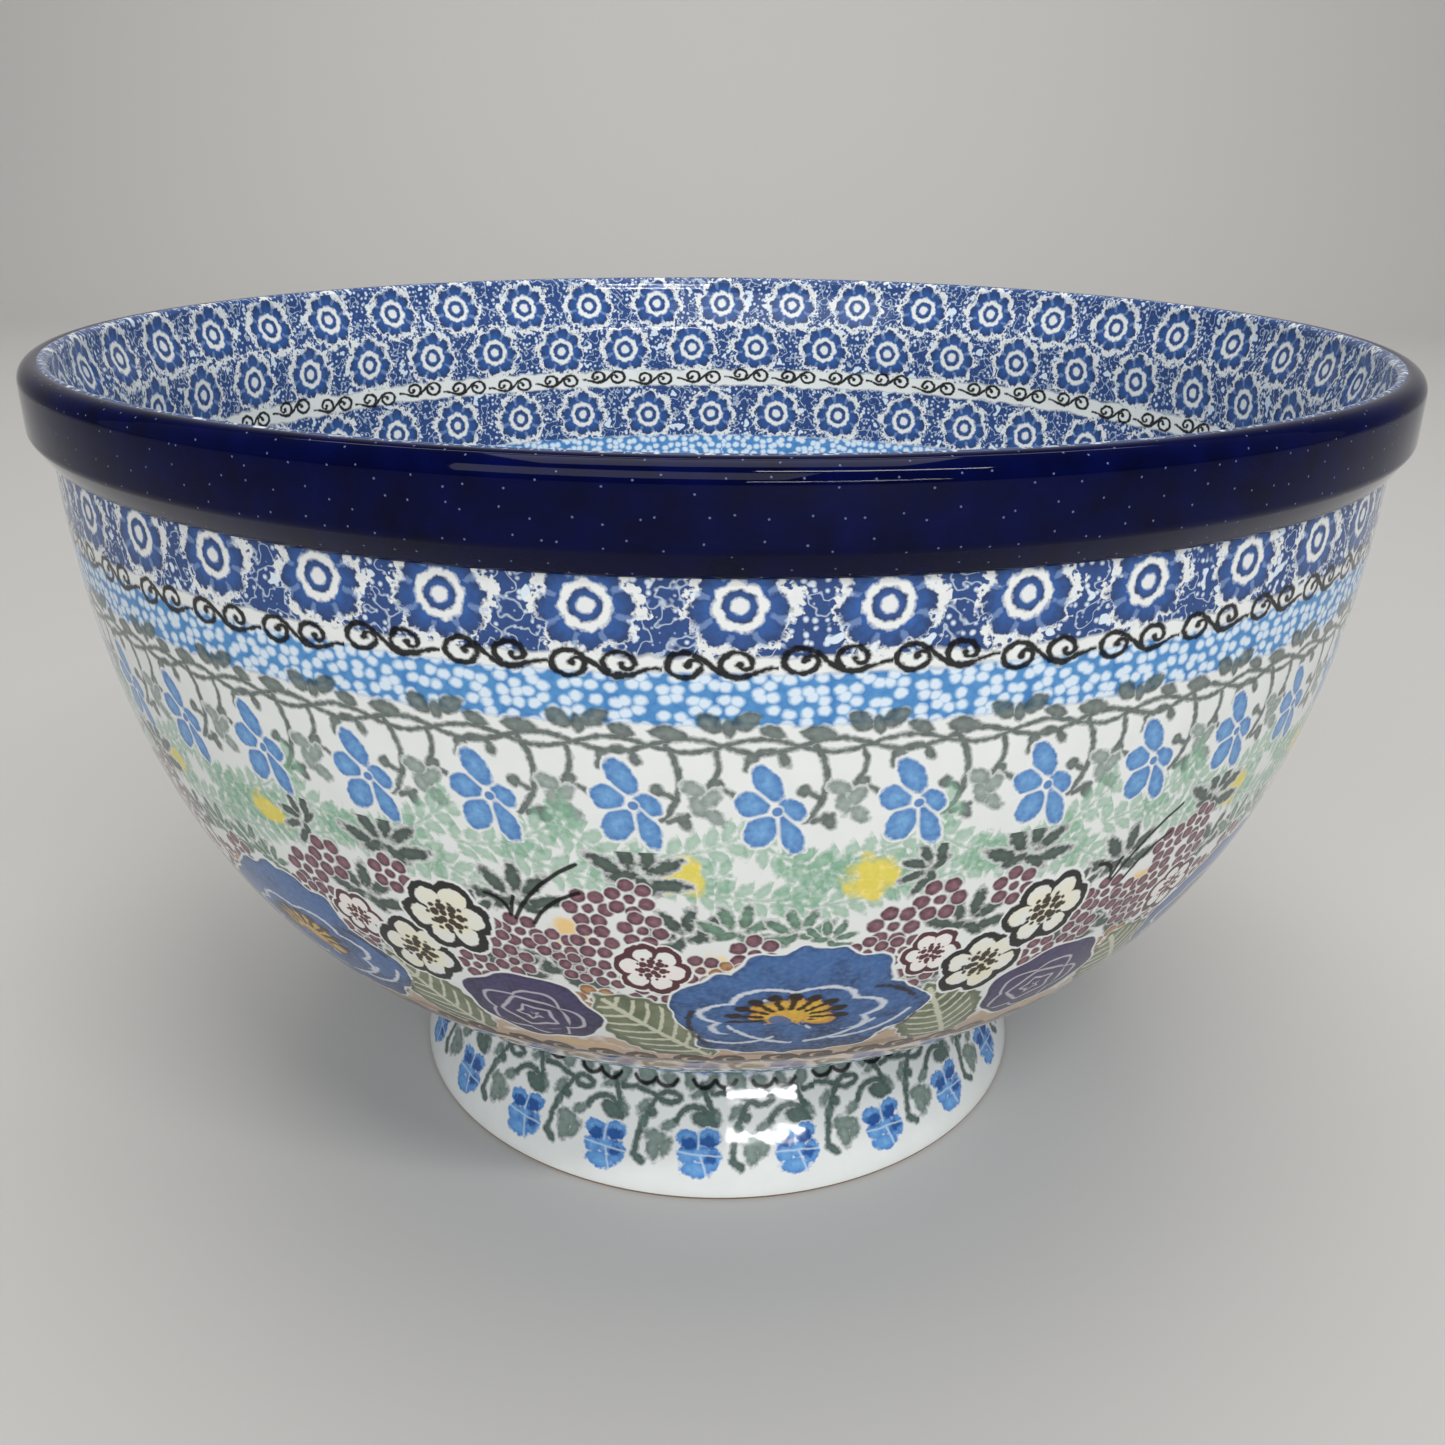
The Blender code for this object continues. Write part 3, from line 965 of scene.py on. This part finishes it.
def outside_garden_material():
    sheet = Sheet(glazed("glaze_outside_garden"), OUTSIDE_DRAWING_RADIUS)
    # painted reflection of a brown wooden table at the foot of the garden
    draw_table_reflection(sheet)
    draw_mint_sprigs(sheet, POPPY_START)
    draw_garden(sheet, POPPY_START)
    return finish_glaze(sheet)


def outside_lower_material():
    sheet = Sheet(glazed("glaze_outside_lower"), OUTSIDE_DRAWING_RADIUS)
    # painted reflection of a brown wooden table at the top of this band
    draw_table_reflection(sheet)
    draw_dotted_band(sheet, 128.0, 180.0)
    draw_spirals(sheet, bold_spirals, 116.0, 43, 5, 1.25)
    return finish_glaze(sheet)


def inside_upper_material():
    sheet = Sheet(glazed("glaze_inside_upper"), INSIDE_DRAWING_RADIUS)
    draw_peacock_ground(sheet, -3.0, 31.5)
    draw_peacocks(sheet, peacock_inside, 9.6, 40, 0.0, 21)
    draw_peacocks(sheet, peacock_inside, 24.2, 40, 11.0, 22)
    draw_peacock_ground(sheet, 36.8, 54.0)
    draw_peacocks(sheet, peacock_inside, 46.2, 40, 4.0, 23)
    draw_dotted_band(sheet, 54.0, 64.0)
    draw_spirals(sheet, running_spirals, 34.0, 55, 25, 0.88)
    return finish_glaze(sheet)


def inside_lower_material():
    """The part of the inside that is seen only from above: bands like those outside, then white."""
    sheet = Sheet(glazed("glaze_inside_lower"), INSIDE_DRAWING_RADIUS)
    draw_dotted_band(sheet, 54.0, 64.0)
    draw_spirals(sheet, running_spirals, 70.0, 48, 5, 1.0)
    sheet.use(vine_stamp, sheet.repeated(40, 0.0, 80.0, 0.0, 0.0, 7))
    sheet.use(violet, sheet.repeated(40, 9.0, 91.0, 0.6, 0.4, 9))
    draw_dotted_band(sheet, 104.0, 118.0)
    return finish_glaze(sheet)


def foot_material():
    sheet = Sheet(glazed("glaze_foot"), FOOT_DRAWING_RADIUS, 0.35)
    draw_dotted_band(sheet, -4.0, 4.2)
    sheet.use(foot_vine, sheet.repeated(21, -9.7, 23.6, 0.0, 0.4, 33))
    sheet.use(pansy, sheet.repeated(21, -4.0, 23.4, 0.5, 0.5, 35).scaled(1.08, 0.88))
    sheet.use(scallops, sheet.repeated(31, 0.0, 6.8, 0.9, 0.4, 31))
    return finish_glaze(sheet)


def cobalt_material():
    """The deep cobalt of the rim: thick glaze, almost black, with tiny pale specks."""
    sheet = Sheet(glazed("glaze_cobalt"), OUTSIDE_DRAWING_RADIUS)
    brighter = (COBALT[0] * 1.6, COBALT[1] * 2.4, COBALT[2] * 2.6)
    sheet.color = sheet.mixed(COBALT, brighter, sheet.wash.times_plus(2.0, -0.5))
    pale_specks = sheet.cells(sheet.spot.scaled(4.6, 4.6)).times_plus(-4.6, 0.15)
    sheet.lay(PALE_SPECK, pale_specks, 0.8, soft=0.06)
    shader = sheet.tree.nodes["Principled BSDF"]
    shader.inputs["Specular IOR Level"].default_value = COBALT_SHINE
    return finish_glaze(sheet, 0.03)


def clay_material():
    """Bare fired clay under the foot."""
    material = glazed("bare_clay", 0.75)
    tree = material.node_tree
    position = add_node(tree, "TexCoord", {}).outputs["Object"]
    grain = add_node(tree, "TexNoise", {"Scale": 1500.0, "Detail": 4.0, "Vector": position}).outputs["Fac"]
    darker = tuple(part * 0.6 for part in BARE_CLAY)
    mixed = add_node(tree, "Mix", {0: grain, 6: BARE_CLAY, 7: darker}, data_type="RGBA").outputs[2]
    tree.links.new(mixed, tree.nodes["Principled BSDF"].inputs["Base Color"])
    return material


# ---- turned geometry ----

def bezier_point(controls, t):
    s = 1.0 - t
    weights = (s * s * s, 3 * s * s * t, 3 * s * t * t, t * t * t)
    return tuple(sum(w * p[k] for w, p in zip(weights, controls)) for k in (0, 1))


def bezier(controls, first, last, steps):
    """Points on a curve that is cut into steps, from one step to another."""
    way = 1 if last >= first else -1
    return [bezier_point(controls, i / steps) for i in range(first, last + way, way)]


def bezier_normal(controls, t):
    """Unit normal at t, pointing to the inside of the bowl."""
    before = bezier_point(controls, max(0.0, t - 0.001))
    after = bezier_point(controls, min(1.0, t + 0.001))
    dr = after[0] - before[0]
    dz = after[1] - before[1]
    length = math.hypot(dr, dz)
    return (-dz / length, dr / length)


def wall_curve():
    """The outside of the bowl wall, as in the frame: edge of the flat base up to the collar."""
    start = (SHELL_BASE_RADIUS, SHELL_BASE)
    belly_low = (SHELL_BASE_RADIUS + 0.0498, SHELL_BASE + 0.0155)
    belly_high = (WALL_RADIUS - 0.0009, COLLAR_BOTTOM - 0.0809)
    end = (WALL_RADIUS, COLLAR_BOTTOM)
    return (start, belly_low, belly_high, end)


def arc(centre_r, centre_z, radius, start_deg, end_deg, steps):
    """Points on an arc in the section, angles measured from +X towards +Z."""
    points = []
    for i in range(steps + 1):
        angle = math.radians(start_deg + (end_deg - start_deg) * i / steps)
        points.append((centre_r + radius * math.cos(angle), centre_z + radius * math.sin(angle)))
    return points


def straight(start, end, steps):
    """Points on a straight line, without its start."""
    points = []
    for i in range(1, steps + 1):
        points.append(tuple(a + (b - a) * i / steps for a, b in zip(start, end)))
    return points


def lathe(name, section, materials, material_at=lambda v: 0, zero=0, downwards=1.0):
    """Turn a closed section about Z.

    v is the length along the section from point zero, in metres; material_at takes it in millimetres."""
    lengths = [0.0]
    for (r0, z0), (r1, z1) in zip(section, section[1:] + section[:1]):
        lengths.append(lengths[-1] + math.hypot(r1 - r0, z1 - z0))
    lengths = [(value - lengths[zero]) * downwards for value in lengths]
    mesh = bpy.data.meshes.new(name)
    verts = []
    rows = []
    for r, z in section:
        if r < AXIS:
            rows.append([len(verts)] * SEGMENTS)
            verts.append((0.0, 0.0, z))
            continue
        rows.append(list(range(len(verts), len(verts) + SEGMENTS)))
        for k in range(SEGMENTS):
            angle = 2 * math.pi * k / SEGMENTS - math.pi
            verts.append((r * math.sin(angle), -r * math.cos(angle), z))
    faces = []
    uvs = []
    slots = []
    for i in range(len(section)):
        j = (i + 1) % len(section)
        if section[i][0] < AXIS and section[j][0] < AXIS:
            continue
        slot = material_at(0.5 * (lengths[i] + lengths[i + 1]) / MM)
        for k in range(SEGMENTS):
            n = (k + 1) % SEGMENTS
            corners = [(rows[i][k], k, i), (rows[j][k], k, i + 1)]
            if section[j][0] >= AXIS:
                corners.append((rows[j][n], k + 1, i + 1))
            if section[i][0] >= AXIS:
                corners.append((rows[i][n], k + 1, i))
            faces.append([c[0] for c in corners])
            uvs.extend((c[1] / SEGMENTS - 0.5, lengths[c[2]]) for c in corners)
            slots.append(slot)
    mesh.from_pydata(verts, [], faces)
    layer = mesh.uv_layers.new(name="surface")
    layer.data.foreach_set("uv", [number for pair in uvs for number in pair])
    mesh.polygons.foreach_set("material_index", slots)
    mesh.shade_smooth()
    mesh.set_sharp_from_angle(angle=math.radians(SHARP_ANGLE))
    mesh.update()
    for material in materials:
        mesh.materials.append(material)
    piece = bpy.data.objects.new(name, mesh)
    bpy.context.scene.collection.objects.link(piece)
    return piece


def shared_mid_wall(controls, count):
    """The hidden surface in the middle of the wall where the inside and outside skins meet."""
    points = []
    for i in range(count + 1):
        t = i / count
        r, z = bezier_point(controls, t)
        nr, nz = bezier_normal(controls, t)
        points.append((r + nr * SKIN_DEPTH, z + nz * SKIN_DEPTH))
    return points


def make_bowl_outside():
    controls = wall_curve()
    count = 96
    section = [(WALL_RADIUS, TOP - 0.004)]
    section += [(WALL_RADIUS, COLLAR_BOTTOM + 0.009), (WALL_RADIUS, COLLAR_BOTTOM + 0.003)]
    zero = len(section)
    section += [bezier_point(controls, 1.0 - i / count) for i in range(count + 1)]
    section += [(SHELL_BASE_RADIUS * part, SHELL_BASE) for part in (0.97, 0.5, 0.0)]
    section += [(0.0, SHELL_BASE + SKIN_DEPTH)]
    section += shared_mid_wall(controls, 40)
    section += [(WALL_RADIUS - 0.0014, COLLAR_BOTTOM + 0.009), (WALL_RADIUS - 0.0012, TOP - 0.004)]

    def material_at(v):
        if v < GARDEN_START:
            return 0
        return 1 if v < GARDEN_END else 2

    materials = (outside_upper_material(), outside_garden_material(), outside_lower_material())
    piece = lathe("bowl_outside", section, materials, material_at, zero)
    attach(piece, "root")
    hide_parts("bowl_shell")
    return piece


LIP_INNER = WALL_RADIUS - 0.0023
LIP_ROLL = 0.0018


def make_bowl_inside():
    wall = wall_curve()
    count = 90
    crest = arc(LIP_INNER + LIP_ROLL, TOP - LIP_ROLL, LIP_ROLL, 90.0, 180.0, 8)
    inside = []
    for i in range(count):
        t = 1.0 - i / count
        r, z = bezier_point(wall, t)
        nr, nz = bezier_normal(wall, t)
        thickness = WALL_BASE_THICKNESS + (WALL_TOP_THICKNESS - WALL_BASE_THICKNESS) * t
        inside.append((r + nr * thickness, z + nz * thickness))
    first = inside[0]
    lip_foot = crest[-1]
    easing = 0.006
    controls = (lip_foot, (lip_foot[0], lip_foot[1] - easing), (first[0], first[1] + easing), first)
    neck = bezier(controls, 1, 9, 10)
    inside = [p for p in inside if p[1] > FLOOR_HEIGHT + 0.0012]
    last = inside[-1]
    floor_edge = SHELL_BASE_RADIUS - 0.0160
    leaving = (last[0] - 0.0045, last[1] - 0.0011)
    arriving = (floor_edge + 0.004, FLOOR_HEIGHT)
    blend = bezier((last, leaving, arriving, (floor_edge, FLOOR_HEIGHT)), 1, 8, 8)
    section = crest + neck + inside + blend
    section += [(floor_edge * part, FLOOR_HEIGHT) for part in (0.66, 0.33, 0.0)]
    section += [(0.0, SHELL_BASE + 0.0029)]
    section += [(r - 0.00005, z + 0.0001) for r, z in shared_mid_wall(wall, 40)]
    section += [(WALL_RADIUS - 0.0015, COLLAR_BOTTOM + 0.009), (WALL_RADIUS - 0.0013, TOP - 0.003)]
    section += [(WALL_RADIUS + 0.0001, TOP - 0.003), (WALL_RADIUS + 0.0001, TOP - 0.0002)]
    section.reverse()
    zero = len(section) - 1

    def material_at(v):
        return 0 if v < INSIDE_LOWER_START else 1

    materials = (inside_upper_material(), inside_lower_material())
    piece = lathe("bowl_inside", section, materials, material_at, zero, downwards=-1.0)
    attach(piece, "root")
    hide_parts("bowl_shell")
    return piece


def make_rim():
    roll = 0.0036
    bore = WALL_RADIUS - 0.0001
    low = COLLAR_BOTTOM + (RIM_RADIUS - WALL_RADIUS) + 0.0012
    section = [(bore + 0.0001, TOP - 0.0001)]
    section += arc(RIM_RADIUS - roll, TOP - roll, roll, 90.0, 0.0, 12)
    section += [(RIM_RADIUS, low + 0.004)]
    section += arc(RIM_RADIUS - 0.0024, low + 0.0004, 0.0024, 0.0, -45.0, 6)
    section += [(bore + 0.0014, COLLAR_BOTTOM + 0.0007)]
    section += arc(bore + 0.0004, COLLAR_BOTTOM + 0.0006, 0.0006, -40.0, -100.0, 3)
    section += [(bore - 0.0003, COLLAR_BOTTOM + 0.0004), (bore - 0.0003, TOP - 0.0006)]
    piece = lathe("cobalt_rim", section, (cobalt_material(),))
    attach(piece, "root")
    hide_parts("rim_collar")
    return piece


def make_foot():
    edge = 0.0008
    cone_low = (FOOT_RADIUS - 0.0014, FOOT_LIP_HEIGHT + 0.0010)
    cone_high = (FOOT_TOP_RADIUS + 0.0014, FOOT_TOP - 0.0042)
    section = [(FOOT_TOP_RADIUS, FOOT_TOP)]
    leaving = (FOOT_TOP_RADIUS + 0.0001, FOOT_TOP - 0.002)
    arriving = (cone_high[0] - 0.0006, cone_high[1] + 0.0012)
    section += bezier((section[0], leaving, arriving, cone_high), 1, 6, 6)
    section += straight(cone_high, cone_low, 24)
    section += [(FOOT_RADIUS - 0.0006, FOOT_LIP_HEIGHT - 0.0008)]
    section += [(FOOT_RADIUS - 0.0001, FOOT_LIP_HEIGHT - 0.0022)]
    section += arc(FOOT_RADIUS - edge, edge, edge, 0.0, -90.0, 5)
    ring_inner = FOOT_RADIUS - FOOT_THICKNESS
    section += arc(ring_inner + edge, edge, edge, -90.0, -180.0, 5)
    section += [(ring_inner - 0.0044, FOOT_LIP_HEIGHT + 0.0062)]
    section += [(FOOT_TOP_RADIUS - FOOT_THICKNESS, z) for z in (FOOT_TOP - 0.0030, FOOT_TOP)]

    def material_at(v):
        """Glaze, but bare clay where the pot stands."""
        return 1 if STANDING_RING_START < v < STANDING_RING_END else 0

    piece = lathe("glazed_foot", section, (foot_material(), clay_material()), material_at)
    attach(piece, "root")
    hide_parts("pedestal_foot")
    return piece


def make_slip_cove():
    middle = (SHELL_BASE + FOOT_TOP) / 2
    outer = FOOT_TOP_RADIUS
    section = [(outer + 0.0006, SHELL_BASE + 0.0003)]
    section += [(outer + 0.00015, middle + 0.0002), (outer + 0.0001, middle - 0.0004)]
    section += [(outer + 0.0001, FOOT_TOP - 0.0004), (outer - 0.0020, FOOT_TOP - 0.0002)]
    section += [(outer - FOOT_THICKNESS - 0.0004, FOOT_TOP), (outer - FOOT_THICKNESS - 0.0006, middle)]
    section += [(outer - FOOT_THICKNESS - 0.0004, SHELL_BASE), (outer - 0.003, SHELL_BASE + 0.0001)]
    piece = lathe("slip_cove", section, (foot_material(),))
    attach(piece, "root")
    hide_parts("luting_slip_ring")
    return piece


# ---- the studio ----

CAMERA_ELEVATION = 22.478
CAMERA_DISTANCE = 2.3954 * RIM_RADIUS
CAMERA_AIM = 0.5768 * RIM_RADIUS
CAMERA_PAN = -0.108
CAMERA_ROLL = 0.474
LENS_RATIO = 1370.0 / 1445.0      # focal length over picture width


def make_camera():
    elevation = math.radians(CAMERA_ELEVATION)
    height = CAMERA_AIM + CAMERA_DISTANCE * math.sin(elevation)
    place = Vector((0.0, -CAMERA_DISTANCE * math.cos(elevation), height))
    right = Vector((1.0, 0.0, 0.0))
    forward = Vector((0.0, math.cos(elevation), -math.sin(elevation)))
    down = forward.cross(right)
    looking = Matrix((right, down, forward))
    looking = Matrix.Rotation(math.radians(CAMERA_PAN), 3, "Y") @ looking
    looking = Matrix.Rotation(math.radians(CAMERA_ROLL), 3, "Z") @ looking
    axes = Matrix((looking[0], -looking[1], -looking[2])).transposed()
    data = bpy.data.cameras.new("camera")
    data.sensor_width = 36.0
    data.lens = 36.0 * LENS_RATIO
    data.clip_start = 0.01
    camera = bpy.data.objects.new("camera", data)
    camera.matrix_world = Matrix.Translation(place) @ axes.to_4x4()
    bpy.context.scene.collection.objects.link(camera)
    bpy.context.scene.camera = camera
    return camera


def make_floor():
    """A pale floor that sweeps up behind the bowl."""
    reach = 9.0
    back = 1.7
    bend = 0.8
    steps = 16
    profile = [(-reach, 0.0)]
    for i in range(steps + 1):
        angle = math.radians(90.0 * i / steps)
        profile.append((back + bend * math.sin(angle), bend - bend * math.cos(angle)))
    profile.append((back + bend, 4.0))
    verts = [(side * reach, y, z) for y, z in profile for side in (-1.0, 1.0)]
    faces = [(2 * i, 2 * i + 1, 2 * i + 3, 2 * i + 2) for i in range(len(profile) - 1)]
    mesh = bpy.data.meshes.new("floor")
    mesh.from_pydata(verts, [], faces)
    mesh.shade_smooth()
    floor = bpy.data.objects.new("floor", mesh)
    bpy.context.scene.collection.objects.link(floor)
    material = bpy.data.materials.new("pale_floor")
    material.use_nodes = True
    shader = material.node_tree.nodes["Principled BSDF"]
    shader.inputs["Base Color"].default_value = (0.50, 0.49, 0.47, 1.0)
    shader.inputs["Roughness"].default_value = 0.8
    mesh.materials.append(material)
    return floor


def make_area_light(name, place, aim, wide, tall, power):
    data = bpy.data.lights.new(name, "AREA")
    data.shape = "RECTANGLE"
    data.size = wide
    data.size_y = tall
    data.energy = power
    light = bpy.data.objects.new(name, data)
    light.location = place
    direction = Vector(aim) - Vector(place)
    light.rotation_euler = direction.to_track_quat("-Z", "Y").to_euler()
    bpy.context.scene.collection.objects.link(light)
    return light


def make_lights():
    """Soft boxes in front, above and behind, a strip, and two tubes that give the streaks on the foot."""
    make_area_light("key", (-0.5, -1.9, 1.35), (0.0, 0.0, 0.10), 2.0, 1.2, 24.0)
    make_area_light("overhead", (0.0, 0.0, 1.8), (0.0, 0.1, 0.1), 1.2, 1.2, 15.0)
    make_area_light("backdrop", (0.0, 0.9, 1.9), (0.0, 2.4, 0.7), 2.4, 0.5, 26.0)
    make_area_light("strip", (0.53, -0.95, 1.30), (0.53, 0.0, 0.10), 0.85, 0.08, 9.0)
    make_area_light("tube_high", (0.50, -1.55, 0.391), (0.50, 0.0, 0.12), 0.80, 0.007, 2.6)
    make_area_light("tube_low", (0.52, -1.55, 0.336), (0.52, 0.0, 0.12), 0.86, 0.007, 2.6)
    world = bpy.data.worlds.new("studio")
    world.use_nodes = True
    background = world.node_tree.nodes["Background"]
    background.inputs["Color"].default_value = (0.86, 0.90, 0.96, 1.0)
    background.inputs["Strength"].default_value = 0.20
    bpy.context.scene.world = world


make_camera()
make_floor()
make_lights()
make_bowl_outside()
make_bowl_inside()
make_rim()
make_foot()
make_slip_cove()
bpy.context.scene.view_settings.view_transform = "Standard"
